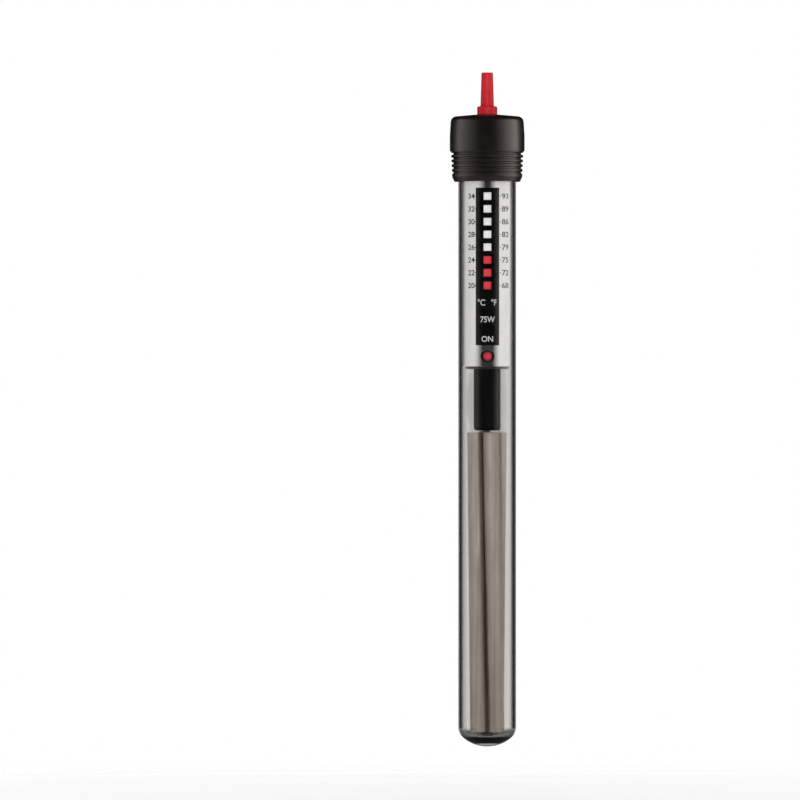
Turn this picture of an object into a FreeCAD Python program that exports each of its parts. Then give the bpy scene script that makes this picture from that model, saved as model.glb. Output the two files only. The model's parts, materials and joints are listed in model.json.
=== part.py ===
import FreeCAD, Part
import math
import os
from types import SimpleNamespace

import Sketcher
from FreeCAD import Placement, Rotation, Vector

# Submersible aquarium heater: a sealed glass tube with a turning red adjuster in its cap.
# Lengths are in millimetres, angles in degrees. Heights run up the tube's axis from the tip of
# the glass. The scale faces -Y. The frame's origin lies on the axis, grip_height above the tip,
# in the middle of the stretch of glass that a pair of holder rings grips.

DIMENSIONS = {
    # glass tube
    "grip_height": 110.0, "glass_rad": 11.0, "glass_wall": 1.15, "glass_top": 230.4,
    "neck_rad": 10.8, "dome_rad": 14.0, "dome_round": 5.67, "tip_thick": 2.2,
    "inner_round": 4.0,
    # head: cap, ribbed collar, bung, cord inlet
    "collar_foot": 215.3, "cap_foot": 226.9, "cap_top": 240.9, "cap_rad": 14.25,
    "cap_straight": 233.0, "cap_top_rad": 13.8, "cap_shoulder": 240.0, "cap_crown_rad": 4.0,
    "cap_round": 2.2, "spigot_top": 230.3, "spigot_rad": 12.85, "spigot_room": 0.2,
    "cap_socket_rad": 12.9, "roof_foot": 233.0, "bung_seat_rad": 11.45, "bung_foot": 219.5,
    "bung_rad": 9.8, "bung_flange_rad": 11.3, "bung_top": 232.9, "inlet_offset": 6.6,
    "inlet_rad": 2.45, "gland_rad": 3.1, "gland_mouth": 0.3, "bung_way_rad": 2.7,
    "collar_top_rad": 13.8, "collar_rib_rad": 13.35, "collar_edge_rad": 12.5,
    "collar_taper_top": 217.1, "rib_pitch": 1.79, "rib_gap": 1.0, "rib_floor": 0.5,
    "rib_depth": 0.45, "rib_flare": 1.24, "rib_round": 0.15, "rib_count": 5.0, "first_gap": 225.9,
    "fit_gap": 0.05,
    # adjuster shaft, its bush and its seals
    "shaft_rad": 1.6, "shaft_spigot_rad": 1.1, "shaft_spigot_top": 251.0,
    "barrel_rad": 2.6, "barrel_foot": 171.8, "barrel_top": 181.5, "socket_side": 2.0,
    "socket_depth": 8.0, "bush_rad": 2.6, "bush_foot": 235.2, "bush_top": 240.7,
    "seal_section": 0.46, "seal_centre_rad": 2.11, "seal_foot": 233.04, "clip_foot": 218.7,
    "clip_thick": 0.5, "clip_rad": 3.1, "clip_groove_rad": 1.2, "clip_opening": 80.0,
    # knob
    "knob_foot": 241.0, "knob_top": 256.9, "knob_collar_rad": 3.82, "knob_collar_top": 244.0,
    "knob_stem_rad": 2.54, "knob_top_rad": 2.18, "knob_round": 0.45, "knob_collar_round": 0.6,
    "knob_stem_round": 0.55,
    # temperature scale
    "sleeve_foot": 144.9, "sleeve_top": 219.0, "sleeve_rad": 9.5, "sleeve_thick": 0.35,
    "sleeve_span": 210.0, "strip_foot": 152.9, "strip_top": 212.8, "strip_half": 4.3,
    "strip_thick": 0.12, "window_side": 2.85, "window_pitch": 4.85, "window_first": 175.65,
    "window_count": 8.0, "rest_window": 2.0, "step_turn": 42.857,
    "drum_foot": 172.4, "drum_top": 212.0, "drum_rad": 8.3, "drum_wall": 0.6,
    "drum_deck": 1.2, "hub_rad": 3.2, "hub_foot": 204.0, "red_rad": 8.5,
    "guide_rad": 9.1, "guide_foot": 213.2, "guide_top": 214.7, "notch_half": 2.8,
    "notch_depth": 8.2,
    # thermostat frame
    "frame_foot": 144.9, "frame_floor": 146.0, "frame_roof": 169.0, "frame_top": 171.5,
    "post_in": 7.3, "post_half": 2.6, "boss_rad": 2.9, "boss_foot": 165.4,
    "lug_in": 1.85, "lug_out": 3.0, "insert_rad": 2.2, "screw_rad": 1.45, "screw_tip": 163.35,
    "screw_shoulder": 170.5, "tang_side": 1.9, "tang_top": 178.6, "tip_rad": 0.8,
    # lever and bimetal switch
    "lever_x": 3.0, "lever_z": 162.2, "lever_top": 163.3, "lever_thick": 0.8,
    "lever_half": 1.5, "lever_left": 1.4, "lever_foot": 155.6, "eye_rad": 1.1, "pin_rad": 0.6,
    "contact_z": 157.0, "contact_rad": 1.1, "contact_thick": 0.6, "contact_gap": 0.85,
    "bimetal_x": 5.7, "bimetal_thick": 0.4, "bimetal_half": 1.75, "bimetal_foot": 149.3,
    "bimetal_top": 166.4, "armature_thick": 0.3, "armature_foot": 163.8, "magnet_x": 3.3,
    "magnet_thick": 1.7, "magnet_half": 1.6, "magnet_foot": 163.7, "magnet_top": 166.6,
    "base_top": 149.2, "base_x": 4.0, "base_right": 7.25, "base_half": 2.2, "rivet_rad": 0.7,
    # indicator lamp, resistor and suppression capacitor
    "lamp_z": 148.7, "bezel_rad": 2.6, "bezel_bore": 1.65, "bezel_front": 9.68, "bezel_back": 6.0,
    "lens_rad": 1.6, "lens_front": 9.7, "lens_back": 8.2, "lens_round": 0.8,
    "neon_rad": 1.5, "neon_front": 8.0, "neon_back": 1.6, "resistor_rad": 1.0,
    "resistor_foot": 150.0, "resistor_top": 156.4, "resistor_x": -5.2, "resistor_y": 3.2,
    "cap_disc_rad": 2.7, "cap_disc_thick": 2.2,
    "cap_disc_x": -4.35, "cap_disc_z": 161.6, "small_lead": 0.25,
    # heat barrier, black block and heating element
    "shield_foot": 143.9, "shield_top": 144.8, "shield_rad": 8.25, "block_rad": 5.1,
    "block_foot": 120.45, "block_round": 1.2, "block_top_round": 0.2, "screw_ring": 3.2,
    "small_screw_rad": 0.95, "head_rad": 1.6, "head_thick": 1.1, "screw_depth": 7.0,
    "driver_slot": 0.5,
    "ceramic_rad": 3.1, "ceramic_bore": 2.15, "ceramic_length": 114.1, "ceramic_foot": 5.6,
    "ring_rad": 4.58, "ring_turn_top": -73.0, "ring_twist": 28.0, "tube_count": 4.0,
    "core_rad": 1.28, "core_bore": 1.05, "core_top": 120.4, "rod_rad": 1.0, "rod_foot": 2.7,
    "rod_top": 127.0, "nut_foot": 3.0, "nut_top": 4.4, "nut_flats": 4.0, "washer_rad": 2.3,
    "coil_rad": 1.75, "coil_bore": 1.35, "coil_inset": 2.0, "jumper_rad": 0.25,
    "jumper_top": 120.05, "jumper_ring": 3.08, "jumper_drop": 1.5,
    # insulated leads
    "lead_rad": 0.45, "lead_ring": 9.05, "lead_turn": 10.0, "lead_inner_ring": 6.15,
    "hot_way": 41.0, "cold_way": 101.0, "hot_ring": 5.6, "hot_turn": 31.5,
    "crimp_rad": 0.75, "crimp_foot": 215.0, "crimp_top": 219.3, "fuse_rad": 1.3,
    "fuse_ring": 6.9, "fuse_foot": 126.0, "fuse_top": 137.0,
}

doc = FreeCAD.newDocument("aquarium_heater")
sheet = doc.addObject("Spreadsheet::Sheet", "dims")
for row, (alias, value) in enumerate(DIMENSIONS.items(), 1):
    sheet.set(f"A{row}", alias)
    sheet.set(f"B{row}", str(value))
    sheet.setAlias(f"B{row}", alias)
doc.recompute()


class Size:
    """A number together with the spreadsheet expression that gives it."""

    def __init__(self, value, text=None):
        self.value = float(value)
        self.text = text or f"{self.value:.6f}"

    def __add__(self, other):
        other = as_size(other)
        return Size(self.value + other.value, f"({self.text} + {other.text})")

    def __sub__(self, other):
        other = as_size(other)
        return Size(self.value - other.value, f"({self.text} - {other.text})")

    def __mul__(self, other):
        other = as_size(other)
        return Size(self.value * other.value, f"({self.text} * {other.text})")

    def __neg__(self):
        return Size(-self.value, f"(-1 * {self.text})")


def as_size(number):
    return number if isinstance(number, Size) else Size(number)


d = SimpleNamespace(**{name: Size(sheet.get(name), f"dims.{name}") for name in DIMENSIONS})
subparts = []
heights = {}


def bind(obj, prop, size):
    obj.setExpression(prop, as_size(size).text)


def subpart(obj, name):
    """Names a finished piece and moves it from heights above the tip into the frame."""
    obj.Label = name
    bind(obj, "Placement.Base.z", heights.get(obj.Name, Size(0)) - d.grip_height)
    subparts.append(obj)
    return obj


# ---------------------------------------------------------------- primitives and booleans

ALONG = {
    "z": Rotation(),
    "x": Rotation(Vector(0, 1, 0), 90),
    "y": Rotation(Vector(1, 0, 0), -90),
}


def place(obj, x, y, z, rotation=Rotation()):
    obj.Placement = Placement(Vector(), rotation)
    heights[obj.Name] = as_size(z)
    for axis, size in zip("xyz", (x, y, z)):
        bind(obj, f"Placement.Base.{axis}", size)
    return obj


def rod(radius, start, end, x=0, y=0, along="z", z=0):
    """A cylinder from start to end along one axis, at the other two coordinates."""
    start, end = as_size(start), as_size(end)
    obj = doc.addObject("Part::Cylinder", "rod")
    bind(obj, "Radius", radius)
    bind(obj, "Height", end - start)
    base = {"z": (x, y, start), "x": (start, y, z), "y": (x, start, z)}[along]
    return place(obj, *base, ALONG[along])


def sector(radius, foot, top, first, span):
    """A slice of a cylinder on the tube's axis, starting at azimuth first."""
    obj = doc.addObject("Part::Cylinder", "sector")
    bind(obj, "Radius", radius)
    bind(obj, "Height", top - foot)
    bind(obj, "Angle", span)
    return place(obj, 0, 0, foot, Rotation(Vector(0, 0, 1), first))


def block(x0, x1, y0, y1, z0, z1):
    x0, x1, y0, y1, z0, z1 = [as_size(v) for v in (x0, x1, y0, y1, z0, z1)]
    obj = doc.addObject("Part::Box", "block")
    bind(obj, "Length", x1 - x0)
    bind(obj, "Width", y1 - y0)
    bind(obj, "Height", z1 - z0)
    return place(obj, x0, y0, z0)


def fuse(*parts):
    obj = doc.addObject("Part::MultiFuse", "fuse")
    obj.Shapes = list(parts)
    obj.Refine = True
    return obj


def cut(base, *tools):
    obj = doc.addObject("Part::Cut", "cut")
    obj.Base = base
    obj.Tool = tools[0] if len(tools) == 1 else fuse(*tools)
    return obj


def group(*parts):
    obj = doc.addObject("Part::Compound", "group")
    obj.Links = list(parts)
    return obj


def tube(outer, inner, foot, top, x=0, y=0):
    return cut(rod(outer, foot, top, x, y), rod(inner, foot, top, x, y))


# ---------------------------------------------------------------- part design helpers


def plane_sketch(body, role, name):
    sketch = body.newObject("Sketcher::SketchObject", name)
    plane = [f for f in body.Origin.OriginFeatures if f.Role == role][0]
    sketch.AttachmentSupport = [(plane, "")]
    sketch.MapMode = "FlatFace"
    return sketch


def outline(sketch, corners):
    """Closes straight edges through corners, each held by its two distances from the origin."""
    spots = [(as_size(u), as_size(v)) for u, v in corners]
    for (u0, v0), (u1, v1) in zip(spots, spots[1:] + spots[:1]):
        start = Vector(u0.value, v0.value, 0)
        end = Vector(u1.value, v1.value, 0)
        sketch.addGeometry(Part.LineSegment(start, end))
    count = len(spots)
    for i, (u, v) in enumerate(spots):
        sketch.addConstraint(Sketcher.Constraint("Coincident", (i - 1) % count, 2, i, 1))
        for kind, size, axis in (("DistanceX", u, -2), ("DistanceY", v, -1)):
            if size.value == 0:
                sketch.addConstraint(Sketcher.Constraint("PointOnObject", i, 1, axis))
                continue
            index = sketch.addConstraint(Sketcher.Constraint(kind, -1, 1, i, 1, size.value))
            bind(sketch, f"Constraints[{index}]", size)


def circle(sketch, radius, u=0, v=0):
    u, v = as_size(u), as_size(v)
    i = sketch.addGeometry(Part.Circle(Vector(u.value, v.value, 0), Vector(0, 0, 1), radius.value))
    index = sketch.addConstraint(Sketcher.Constraint("Radius", i, radius.value))
    bind(sketch, f"Constraints[{index}]", radius)
    for kind, size, axis in (("DistanceX", u, -2), ("DistanceY", v, -1)):
        if size.value == 0:
            sketch.addConstraint(Sketcher.Constraint("PointOnObject", i, 3, axis))
            continue
        index = sketch.addConstraint(Sketcher.Constraint(kind, -1, 1, i, 3, size.value))
        bind(sketch, f"Constraints[{index}]", size)


def new_body(name):
    return doc.addObject("PartDesign::Body", name + "_body")


def spin(body, corners, kind="Revolution", name="turned"):
    """Turns an outline of (radius, height) corners about the axis, adding or removing material."""
    sketch = plane_sketch(body, "XZ_Plane", name + "_outline")
    outline(sketch, corners)
    feature = body.newObject(f"PartDesign::{kind}", name)
    feature.Profile = sketch
    feature.ReferenceAxis = (sketch, ["V_Axis"])
    feature.Angle = 360
    return feature


def pocket(body, draw, name, depth, reverse, plane="XY_Plane", offset=0):
    """Cuts straight through an outline that draw puts in a sketch at a height above a plane."""
    sketch = plane_sketch(body, plane, name + "_outline")
    bind(sketch, "AttachmentOffset.Base.z", offset)
    draw(sketch)
    feature = body.newObject("PartDesign::Pocket", name)
    feature.Profile = sketch
    bind(feature, "Length", depth)
    feature.Reversed = reverse
    doc.recompute()
    if feature.Shape.Volume >= feature.BaseFeature.Shape.Volume - 1e-6:
        raise RuntimeError(f"{name} cuts nothing")
    return feature


def round_edges(body, base, radius, wanted, name):
    doc.recompute()
    names = [f"Edge{i}" for i, edge in enumerate(base.Shape.Edges, 1) if wanted(edge)]
    if not names:
        raise RuntimeError(f"{name} finds no edge")
    feature = body.newObject("PartDesign::Fillet", name)
    feature.Base = (base, names)
    bind(feature, "Radius", radius)
    return feature


def circle_of(edge):
    """The edge's circle, or None for any other edge."""
    if edge.Degenerated or not isinstance(edge.Curve, Part.Circle):
        return None
    return edge.Curve


def ring_edge(radius, height):
    """A test for the circular edge of that radius, centred on the axis at that height."""

    def found(edge):
        curve = circle_of(edge)
        return (
            curve is not None
            and abs(curve.Radius - radius.value) < 0.01
            and abs(curve.Center.z - height.value) < 0.01
            and math.hypot(curve.Center.x, curve.Center.y) < 0.01
        )

    return found


# ---------------------------------------------------------------- glass and head


def glass_tube():
    """A straight tube closed by a shallow dome, with a ground neck under the collar."""
    body = new_body("glass_tube")
    bore = d.glass_rad - d.glass_wall
    spin(body, [(0, 0), (d.glass_rad, 0), (d.glass_rad, d.collar_foot),
                (d.neck_rad, d.collar_foot), (d.neck_rad, d.glass_top), (0, d.glass_top)],
         name="outside")
    shell = doc.addObject("Part::Sphere", "dome_outside")
    bind(shell, "Radius", d.dome_rad)
    place(shell, 0, 0, d.dome_rad)
    upper = rod(d.glass_rad + 1, d.dome_rad, d.glass_top + 1)
    blank = doc.addObject("Part::Common", "glass_blank")
    blank.Base = body
    blank.Tool = fuse(shell, upper)
    hollow_ball = doc.addObject("Part::Sphere", "dome_inside")
    bind(hollow_ball, "Radius", d.dome_rad - d.glass_wall)
    place(hollow_ball, 0, 0, d.dome_rad - d.glass_wall + d.tip_thick)
    straight = rod(bore, 0, d.glass_top)
    hollow_upper = rod(d.glass_rad, d.dome_rad - d.glass_wall + d.tip_thick, d.glass_top + 1)
    hollow = doc.addObject("Part::Common", "glass_hollow")
    hollow.Base = straight
    hollow.Tool = fuse(hollow_ball, hollow_upper)
    doc.recompute()
    outer = round_part(blank, d.dome_round, d.glass_rad)
    inner = round_part(hollow, d.inner_round, bore)
    subpart(cut(outer, inner), "glass_tube")


def round_part(base, radius, edge_rad):
    """Rounds the lowest circular edge of that radius on a Part object."""
    rims = [(circle_of(edge).Center.z, i) for i, edge in enumerate(base.Shape.Edges, 1)
            if circle_of(edge) and abs(circle_of(edge).Radius - edge_rad.value) < 0.001]
    obj = doc.addObject("Part::Fillet", "rounded")
    obj.Base = base
    obj.Edges = [(min(rims)[1], radius.value, radius.value)]
    doc.recompute()
    return obj


def head_cap():
    """The smooth cup over the tube's mouth, with the shaft and cord passages in its roof."""
    body = new_body("head_cap")
    ledge = d.spigot_top + d.spigot_room
    spin(body, [(0, d.cap_top), (d.cap_crown_rad, d.cap_top), (d.cap_top_rad, d.cap_shoulder),
                (d.cap_rad, d.cap_straight), (d.cap_rad, d.cap_foot),
                (d.cap_socket_rad, d.cap_foot), (d.cap_socket_rad, ledge),
                (d.bung_seat_rad, ledge), (d.bung_seat_rad, d.roof_foot), (0, d.roof_foot)],
         name="cup")
    pocket(body, lambda s: circle(s, d.bush_rad + 0.01), "shaft_way", d.cap_top, False,
           offset=d.cap_top + 1)
    way = pocket(body, lambda s: circle(s, d.gland_rad + 0.02, 0, d.inlet_offset), "cord_way",
                 d.cap_top, False, offset=d.cap_top + 1)
    round_edges(body, way, d.cap_round, ring_edge(d.cap_top_rad, d.cap_shoulder), "crown_round")
    subpart(body, "head_cap")


def ribbed_collar():
    """The rubber collar below the cap: five grip rings above a short tapered skirt."""
    body = new_body("ribbed_collar")
    bore = d.neck_rad + 0.03
    foot = d.collar_foot + 0.02
    spin(body, [(bore, foot), (d.collar_edge_rad, foot), (d.collar_rib_rad, d.collar_taper_top),
                (d.collar_top_rad, d.cap_foot), (d.spigot_rad, d.cap_foot),
                (d.spigot_rad, d.spigot_top), (bore, d.spigot_top)], name="collar_blank")
    floor = d.collar_rib_rad - d.rib_depth
    outer = d.collar_top_rad + 0.3
    half_floor = d.rib_floor * 0.5
    half_mouth = d.rib_gap * d.rib_flare * 0.5
    gap = spin(body, [(floor, d.first_gap - half_floor), (outer, d.first_gap - half_mouth),
                      (outer, d.first_gap + half_mouth), (floor, d.first_gap + half_floor)],
               kind="Groove", name="rib_gap")
    gaps = body.newObject("PartDesign::LinearPattern", "rib_gaps")
    gaps.Originals = [gap]
    gaps.Direction = (gap.Profile[0], ["V_Axis"])
    gaps.Reversed = True
    bind(gaps, "Length", d.rib_pitch * (d.rib_count - 1))
    bind(gaps, "Occurrences", d.rib_count)
    body.Tip = gaps
    doc.recompute()
    if gaps.Shape.Volume >= gap.Shape.Volume - 1:
        raise RuntimeError("the collar's gaps aren't repeated")

    def crest(edge):
        curve = circle_of(edge)
        return (
            curve is not None
            and curve.Radius > d.collar_rib_rad.value - 0.1
            and d.collar_taper_top.value + 0.1 < curve.Center.z < d.cap_foot.value - 0.1
        )

    round_edges(body, gaps, d.rib_round, crest, "crest_round")
    subpart(body, "ribbed_collar")


def seal_bung():
    """The rubber stopper in the tube's mouth, under the cap."""
    body = new_body("seal_bung")
    spin(body, [(0, d.bung_foot), (d.bung_rad, d.bung_foot), (d.bung_rad, d.glass_top + 0.02),
                (d.bung_flange_rad, d.glass_top + 0.02), (d.bung_flange_rad, d.bung_top),
                (0, d.bung_top)], name="stopper")
    pocket(body, lambda s: circle(s, d.shaft_rad + d.fit_gap), "shaft_way", d.bung_top, False,
           offset=d.bung_top + 1)
    pocket(body, lambda s: circle(s, d.bung_way_rad, 0, d.inlet_offset), "cord_way",
           d.bung_top, False, offset=d.bung_top + 1)
    subpart(body, "seal_bung")


def cord_gland():
    """The grommet that grips the supply cord, flush with the cap's top."""
    body = new_body("cord_gland")
    bore = d.inlet_rad
    spin(body, [(bore, d.roof_foot), (d.gland_rad, d.roof_foot), (d.gland_rad, d.cap_top),
                (bore + d.gland_mouth, d.cap_top), (bore, d.cap_top - d.gland_mouth)],
         name="grommet")
    subpart(body, "cord_gland")
    bind(body, "Placement.Base.y", d.inlet_offset)


def shaft_bush():
    subpart(tube(d.bush_rad, d.shaft_rad + d.fit_gap, d.bush_foot, d.bush_top), "shaft_bush")


def shaft_seals():
    """Two O-rings in the chamber under the bush."""
    rings = []
    for i in range(2):
        ring = doc.addObject("Part::Torus", "seal_ring")
        bind(ring, "Radius1", d.seal_centre_rad)
        bind(ring, "Radius2", d.seal_section)
        centre = d.seal_foot + d.seal_section + (d.seal_section * 2 + 0.06) * i
        rings.append(place(ring, 0, 0, centre))
    subpart(group(*rings), "shaft_seals")


# ---------------------------------------------------------------- adjuster


def adjuster_knob():
    """The tapered finger grip on a round-shouldered collar that covers the shaft's seal."""
    body = new_body("adjuster_knob")
    turned = spin(body, [(0, d.knob_foot), (d.knob_collar_rad, d.knob_foot),
                         (d.knob_collar_rad, d.knob_collar_top),
                         (d.knob_stem_rad, d.knob_collar_top), (d.knob_top_rad, d.knob_top),
                         (0, d.knob_top)], name="grip")
    rim = round_edges(body, turned, d.knob_round, ring_edge(d.knob_top_rad, d.knob_top),
                      "tip_round")
    rim = round_edges(body, rim, d.knob_collar_round,
                      ring_edge(d.knob_collar_rad, d.knob_collar_top), "collar_round")
    round_edges(body, rim, d.knob_stem_round, ring_edge(d.knob_stem_rad, d.knob_collar_top),
                "stem_round")
    pocket(body, lambda s: circle(s, d.shaft_spigot_rad + 0.01), "shaft_socket",
           d.shaft_spigot_top + 0.1 - d.knob_foot, True, offset=d.knob_foot)
    subpart(body, "adjuster_knob")


def adjuster_shaft():
    """The shaft from the knob down to the square drive of the set screw."""
    body = new_body("adjuster_shaft")
    clip_top = d.clip_foot + d.clip_thick
    spin(body, [(0, d.barrel_foot), (d.barrel_rad, d.barrel_foot), (d.barrel_rad, d.barrel_top),
                (d.shaft_rad, d.barrel_top + 1), (d.shaft_rad, d.clip_foot),
                (d.clip_groove_rad, d.clip_foot), (d.clip_groove_rad, clip_top),
                (d.shaft_rad, clip_top), (d.shaft_rad, d.knob_foot),
                (d.shaft_spigot_rad, d.knob_foot), (d.shaft_spigot_rad, d.shaft_spigot_top),
                (0, d.shaft_spigot_top)], name="turned_shaft")
    half = d.socket_side * 0.5
    pocket(body, lambda s: outline(s, [(-half, -half), (half, -half), (half, half), (-half, half)]),
           "square_socket", d.socket_depth, True, offset=d.barrel_foot)
    subpart(body, "adjuster_shaft")


def shaft_clip():
    """The open retaining ring that stops the shaft from being pulled out."""
    top = d.clip_foot + d.clip_thick
    opening = d.clip_opening
    ring = sector(d.clip_rad, d.clip_foot, top, 90 + opening.value / 2,
                  Size(360) - opening)
    subpart(cut(ring, rod(d.clip_groove_rad, d.clip_foot, top)), "shaft_clip")


def indicator_drum():
    """The white drum behind the windows, hung from a hub on the shaft."""
    deck = d.drum_top - d.drum_deck
    cup = cut(rod(d.drum_rad, d.drum_foot, d.drum_top),
              rod(d.drum_rad - d.drum_wall, d.drum_foot, deck))
    hub = rod(d.hub_rad, d.hub_foot, deck)
    bore = rod(d.shaft_rad, d.hub_foot, d.drum_top)
    subpart(cut(fuse(cup, hub), bore), "indicator_drum")


def red_indicator():
    """The red jacket on the drum. Its edge climbs one window at each step round the drum."""
    steps = []
    gap_above_rest = d.window_first + d.window_pitch * d.rest_window + d.window_pitch * 0.5
    for i in range(int(d.window_count.value)):
        from_rest = i - d.rest_window.value
        top = gap_above_rest + d.window_pitch * from_rest
        centre = -90 + d.step_turn.value * from_rest
        steps.append(sector(d.red_rad, d.drum_foot, top, centre - d.step_turn.value / 2,
                            d.step_turn))
    subpart(cut(fuse(*steps), rod(d.drum_rad, d.drum_foot, d.drum_top + 1)), "red_indicator")


# ---------------------------------------------------------------- scale


def windows(radius):
    """The tools that cut the column of square windows through the front."""
    half = d.window_side * 0.5
    tools = []
    for i in range(int(d.window_count.value)):
        centre = d.window_first + d.window_pitch * i
        tools.append(block(-half, half, -(radius + 1), -(radius - 2), centre - half, centre + half))
    return tools


def scale_sleeve():
    """The silvery printed carrier round the front, open at the back."""
    first = -90 - d.sleeve_span.value / 2
    inner = d.sleeve_rad - d.sleeve_thick
    band = cut(sector(d.sleeve_rad, d.sleeve_foot, d.sleeve_top, first, d.sleeve_span),
               rod(inner, d.sleeve_foot, d.sleeve_top))
    lamp_hole = rod(d.bezel_rad + 0.05, -(d.sleeve_rad + 1), -(inner - 1), along="y", z=d.lamp_z)
    subpart(cut(band, lamp_hole, *windows(d.sleeve_rad)), "scale_sleeve")


def window_strip():
    """The black film that frames the windows."""
    outer = d.sleeve_rad + d.strip_thick
    half_span = math.degrees(math.asin(d.strip_half.value / outer.value))
    band = cut(sector(outer, d.strip_foot, d.strip_top, -90 - half_span, Size(2 * half_span)),
               rod(d.sleeve_rad, d.strip_foot, d.strip_top))
    subpart(cut(band, *windows(outer)), "window_strip")


def lead_notch(foot, top):
    """The tool for the slot at the back of a disc through which the leads pass."""
    return block(-d.notch_half, d.notch_half, d.notch_depth, d.guide_rad + 1, foot, top)


def upper_guide():
    disc = rod(d.guide_rad, d.guide_foot, d.guide_top)
    bore = rod(d.shaft_rad + d.fit_gap, d.guide_foot, d.guide_top)
    subpart(cut(disc, bore, lead_notch(d.guide_foot, d.guide_top)), "upper_guide")


# ---------------------------------------------------------------- thermostat


def at_azimuth(radius, azimuth):
    """The x and y of a point on a ring, as plain numbers."""
    turn = math.radians(azimuth)
    return radius.value * math.cos(turn), radius.value * math.sin(turn)


def ring_azimuth(i):
    """The azimuth of the top of ceramic tube i."""
    return d.ring_turn_top.value + 360 / d.tube_count.value * i


SCREW_AZIMUTHS = (70, 180)


def thermostat_frame():
    """The moulded frame: floor and roof discs, two side posts, screw boss, lugs and clamp."""
    floor = rod(d.guide_rad, d.frame_foot, d.frame_floor)
    roof = rod(d.guide_rad, d.frame_roof, d.frame_top)
    wall = cut(rod(d.guide_rad, d.frame_foot, d.frame_top),
               block(-d.post_in, d.post_in, -10, 10, d.frame_foot, d.frame_top),
               block(-10, 10, d.post_half, 10, d.frame_foot, d.frame_top),
               block(-10, 10, -10, -d.post_half, d.frame_foot, d.frame_top))
    boss = rod(d.boss_rad, d.boss_foot, d.frame_roof)
    lug_left, lug_right = d.lever_x - 0.9, d.lever_x + 0.9
    lug_foot = d.lever_z - 1.3
    lug_back = block(lug_left, lug_right, d.lug_in, d.lug_out, lug_foot, d.frame_roof)
    lug_front = block(lug_left, lug_right, -d.lug_out, -d.lug_in, lug_foot, d.frame_roof)
    magnet_right = d.magnet_x + d.magnet_thick
    hanger = block(d.magnet_x, magnet_right, -d.magnet_half, d.magnet_half, d.magnet_top,
                   d.frame_roof)
    clamp = block(d.base_x, d.base_right, -d.base_half, d.base_half, d.frame_floor, d.base_top)
    slot = block(d.bimetal_x - 0.02, d.bimetal_x + d.bimetal_thick + 0.02, -4, 4,
                 d.frame_floor, d.base_top + 1)
    tools = [
        slot,
        rod(d.insert_rad + 0.01, d.boss_foot - 1, d.frame_top - 0.4),
        rod(d.screw_rad + 0.1, d.boss_foot, d.frame_top),
        rod(d.pin_rad + 0.01, -d.lug_out, d.lug_out, x=d.lever_x, along="y", z=d.lever_z),
        rod(d.rivet_rad + 0.01, d.base_x, d.guide_rad, along="x", z=d.base_top - 1.4),
        lead_notch(d.frame_roof, d.frame_top),
    ]
    for azimuth in SCREW_AZIMUTHS:
        x, y = at_azimuth(d.screw_ring, azimuth)
        tools.append(rod(d.small_screw_rad + 0.05, d.frame_foot, d.frame_floor, x=x, y=y))
    for azimuth in (d.hot_way.value, d.cold_way.value):
        x, y = at_azimuth(d.lead_inner_ring, azimuth)
        tools.append(rod(d.lead_rad + 0.1, d.frame_foot, d.frame_floor, x=x, y=y))
    solid = fuse(floor, roof, wall, boss, lug_back, lug_front, hanger, clamp)
    subpart(cut(solid, *tools), "thermostat_frame")


def set_screw_parts():
    """The brass insert in the frame and the square-driven set screw that turns in it."""
    insert_foot = d.boss_foot - 0.6
    insert = cut(rod(d.insert_rad, insert_foot, d.frame_top - 0.4),
                 rod(d.screw_rad + d.fit_gap, insert_foot, d.frame_top - 0.4))
    subpart(insert, "screw_insert")
    half = d.tang_side * 0.5
    point = doc.addObject("Part::Sphere", "point")
    bind(point, "Radius", d.tip_rad)
    place(point, 0, 0, d.screw_tip + d.tip_rad)
    shank = rod(d.screw_rad, d.screw_tip + d.tip_rad, d.screw_shoulder)
    tang = block(-half, half, -half, half, d.screw_shoulder, d.tang_top)
    subpart(fuse(point, shank, tang), "set_screw")


def set_lever():
    """The bell crank under the set screw: a level arm, a pivot eye and a hanging arm."""
    half = d.lever_half
    level = block(-d.lever_left, d.lever_x, -half, half, d.lever_top - d.lever_thick, d.lever_top)
    eye = rod(d.eye_rad, -half, half, x=d.lever_x, along="y", z=d.lever_z)
    hanging = block(d.lever_x - 0.4, d.lever_x + 0.4, -half, half, d.lever_foot, d.lever_z)
    bore = rod(d.pin_rad + d.fit_gap, -half, half, x=d.lever_x, along="y", z=d.lever_z)
    shank_hole = rod(0.5, d.lever_x - 0.4, d.lever_x + 0.4, along="x", z=d.contact_z)
    subpart(cut(fuse(level, eye, hanging), bore, shank_hole), "set_lever")
    pin = rod(d.pin_rad, -(d.lug_out + 0.2), d.lug_out + 1.6, x=d.lever_x, along="y", z=d.lever_z)
    subpart(pin, "lever_pin")
    face = d.lever_x + 0.4
    contact = fuse(rod(d.contact_rad, face, face + d.contact_thick, along="x", z=d.contact_z),
                   rod(0.5, d.lever_x - 0.4, face, along="x", z=d.contact_z))
    subpart(contact, "lever_contact")


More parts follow.
